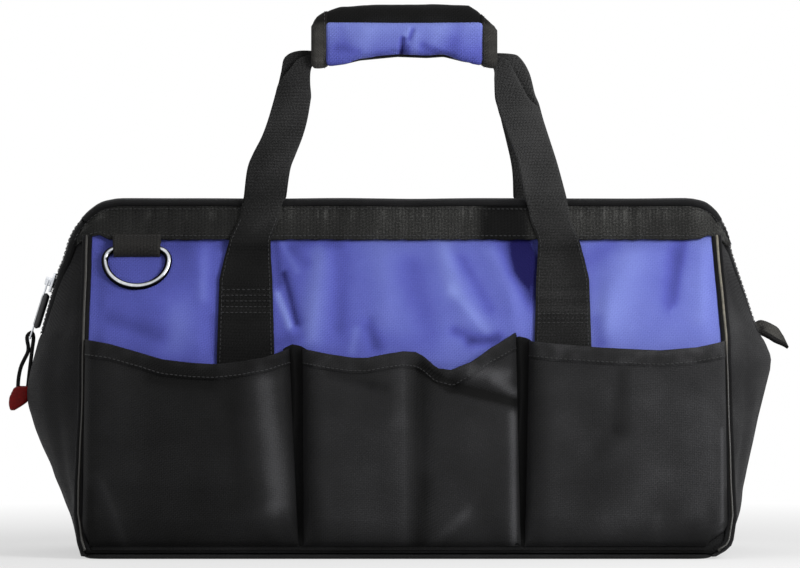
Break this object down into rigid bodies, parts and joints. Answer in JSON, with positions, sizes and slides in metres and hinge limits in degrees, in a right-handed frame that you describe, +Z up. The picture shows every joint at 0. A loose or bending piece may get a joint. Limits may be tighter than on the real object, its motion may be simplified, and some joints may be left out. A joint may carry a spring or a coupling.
{
  "type": "tool bag",
  "caption": "Soft wide-mouth tool bag with zipped ridge, outside patch pockets, webbing carrying handles and a padded hand grip, in black and blue fabric.",
  "frame": {"origin": "centre of the base's underside", "axes": "+Z up, -Y towards the front, +X to the right seen from the front, along the bag's length"},
  "size_m": [0.5496, 0.2422, 0.3878],
  "materials": {
    "black_fabric": "matte woven polyester",
    "blue_fabric": "matte woven polyester",
    "black_webbing": "ribbed woven webbing",
    "black_trim": "fine woven tape",
    "steel": "bright plated",
    "black_nylon": "satin",
    "red_rubber": "satin moulded",
    "base_board": "matte"
  },
  "bodies": {
    "root": {"base_panel": "black_fabric", "base_board": "base_board", "end_gusset_left": "black_fabric", "end_gusset_right": "black_fabric", "zip_end_left": "black_trim", "zip_end_right": "black_trim", "zip_end_tab": "black_webbing"},
    "front_wall": {"front_wall_panel": "black_fabric", "front_blue_panel": "blue_fabric", "front_top_band": "black_webbing", "front_frame_wire": "steel", "front_zip_tape": "black_trim", "front_zip_teeth": "black_nylon", "front_pocket_left": "black_fabric", "front_pocket_middle": "black_fabric", "front_pocket_right": "black_fabric", "front_hem_left": "black_webbing", "front_hem_middle": "black_webbing", "front_hem_right": "black_webbing", "front_strap_left": "black_webbing", "front_strap_right": "black_webbing", "front_piping_left": "black_trim", "front_piping_right": "black_trim", "front_flap_left": "black_fabric", "front_flap_right": "black_fabric", "front_ring_tab": "black_webbing"},
    "back_wall": {"back_wall_panel": "black_fabric", "back_blue_panel": "blue_fabric", "back_top_band": "black_webbing", "back_frame_wire": "steel", "back_zip_tape": "black_trim", "back_zip_teeth": "black_nylon", "back_pocket_left": "black_fabric", "back_pocket_middle": "black_fabric", "back_pocket_right": "black_fabric", "back_hem_left": "black_webbing", "back_hem_middle": "black_webbing", "back_hem_right": "black_webbing", "back_strap_left": "black_webbing", "back_strap_right": "black_webbing", "back_piping_left": "black_trim", "back_piping_right": "black_trim", "back_flap_left": "black_fabric", "back_flap_right": "black_fabric", "back_ring_tab": "black_webbing"},
    "front_handle": {"front_handle_webbing": "black_webbing", "front_grip_wrap": "black_fabric", "front_grip_binding_left": "black_webbing", "front_grip_binding_right": "black_webbing", "grip_pad": "blue_fabric"},
    "back_handle": {"back_handle_webbing": "black_webbing", "back_grip_wrap": "black_fabric", "back_grip_binding_left": "black_webbing", "back_grip_binding_right": "black_webbing"},
    "front_d_ring": {"front_ring": "steel"},
    "back_d_ring": {"back_ring": "steel"},
    "slider": {"zip_slider": "steel"},
    "pull": {"pull_tab": "steel", "pull_cord": "black_nylon", "pull_tip": "red_rubber"}
  },
  "joints": [
    {"name": "front_wall_tilt", "type": "hinge", "parent": "root", "child": "front_wall", "pos_m": [0, -0.115, 0.0045], "axis": [1, 0, 0], "range_deg": [0, 22.5]},
    {"name": "back_wall_tilt", "type": "hinge", "parent": "root", "child": "back_wall", "pos_m": [0, 0.115, 0.0045], "axis": [-1, 0, 0], "range_deg": [0, 22.5]},
    {"name": "front_handle_swing", "type": "hinge", "parent": "front_wall", "child": "front_handle", "pos_m": [0, -0.02296, 0.24719], "axis": [1, 0, 0], "range_deg": [0, 150]},
    {"name": "back_handle_swing", "type": "hinge", "parent": "back_wall", "child": "back_handle", "pos_m": [0, 0.02296, 0.24719], "axis": [-1, 0, 0], "range_deg": [0, 150]},
    {"name": "front_ring_swing", "type": "hinge", "parent": "front_wall", "child": "front_d_ring", "pos_m": [-0.1885, -0.03329, 0.21465], "axis": [-1, 0, 0], "range_deg": [0, 150]},
    {"name": "back_ring_swing", "type": "hinge", "parent": "back_wall", "child": "back_d_ring", "pos_m": [0.1885, 0.03329, 0.21465], "axis": [1, 0, 0], "range_deg": [0, 150]},
    {"name": "slider_run", "type": "slide", "parent": "root", "child": "slider", "axis": [0.2987, 0, 0.9543], "range_m": [-0.018, 0]},
    {"name": "pull_swing", "type": "hinge", "parent": "slider", "child": "pull", "pos_m": [-0.25248, 0, 0.19203], "axis": [0, 1, 0], "range_deg": [0, 120]}
  ]
}
